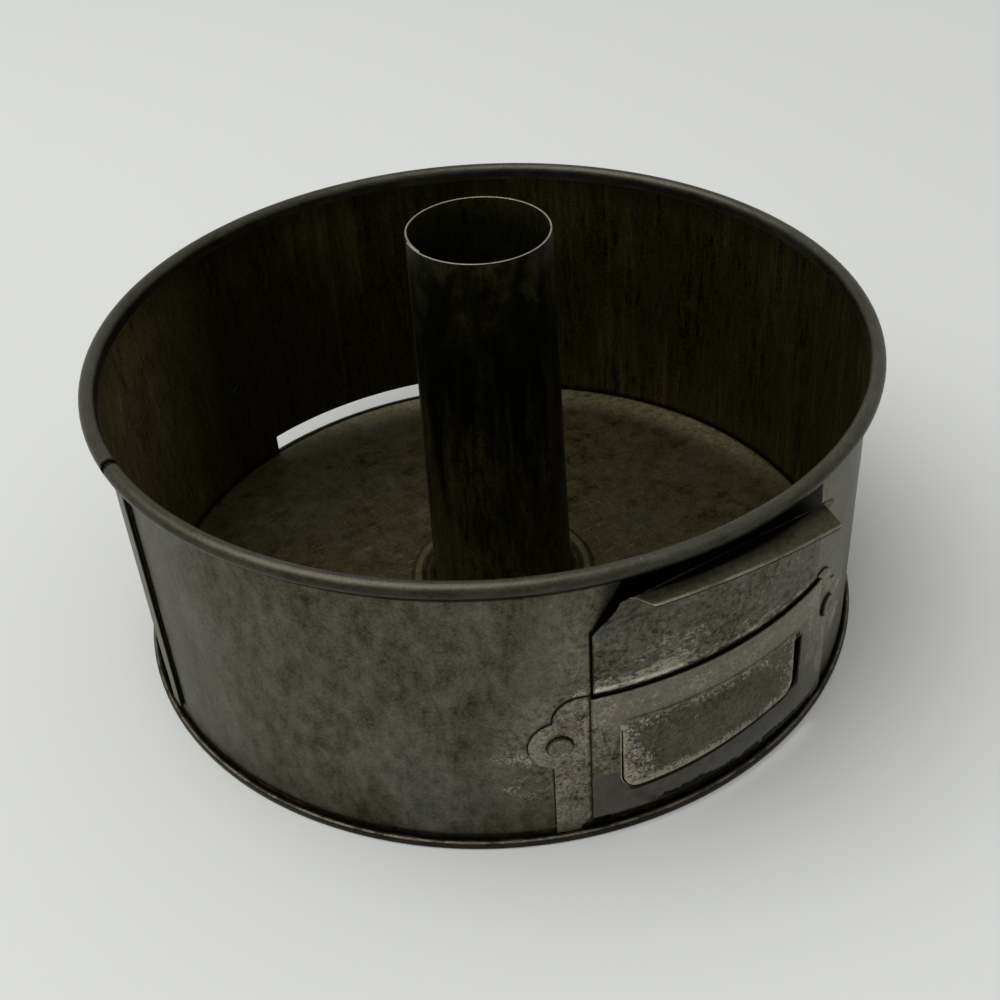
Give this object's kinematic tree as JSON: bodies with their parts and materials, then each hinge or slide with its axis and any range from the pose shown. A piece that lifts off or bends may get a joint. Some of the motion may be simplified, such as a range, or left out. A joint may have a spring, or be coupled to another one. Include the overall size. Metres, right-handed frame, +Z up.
{
  "type": "angel food cake pan",
  "caption": "Round deep tinplate cake pan with a tall centre tube, a wired rolled rim and two sliding gates that cover knife slots at floor level.",
  "frame": {"origin": "centre of the base on the table, under the middle of the part", "axes": "+Z up along the centre tube; the front gate faces -Y, the rear gate faces +Y, the wall's lock seam is on the -X side"},
  "size_m": [0.23, 0.2443, 0.1267],
  "materials": {
    "wall_tinplate": "aged tinplate, grey patina",
    "rim_wire_steel": "dull drawn wire",
    "floor_tinplate": "baked-on brown patina",
    "tube_tinplate": "dark baked patina, worn edge",
    "holder_tinplate": "grey tinplate with worn bright tin",
    "slide_tinplate": "grey tinplate with worn bright tin",
    "rivet_tin": "tinned rivet head"
  },
  "bodies": {
    "root": {"side_wall": "wall_tinplate", "rim_wire": "rim_wire_steel", "bottom": "floor_tinplate", "centre_tube": "tube_tinplate", "front_holder": "holder_tinplate", "front_left_rivet": "rivet_tin", "front_right_rivet": "rivet_tin", "rear_holder": "holder_tinplate", "rear_left_rivet": "rivet_tin", "rear_right_rivet": "rivet_tin"},
    "front_gate": {"front_slide": "slide_tinplate"},
    "rear_gate": {"rear_slide": "slide_tinplate"}
  },
  "joints": [
    {"name": "front_gate_slide", "type": "slide", "parent": "root", "child": "front_gate", "axis": [0, 0, 1], "range_m": [-0.0073, 0.0039]},
    {"name": "rear_gate_slide", "type": "slide", "parent": "root", "child": "rear_gate", "axis": [0, 0, 1], "range_m": [-0.0073, 0.0039]}
  ]
}
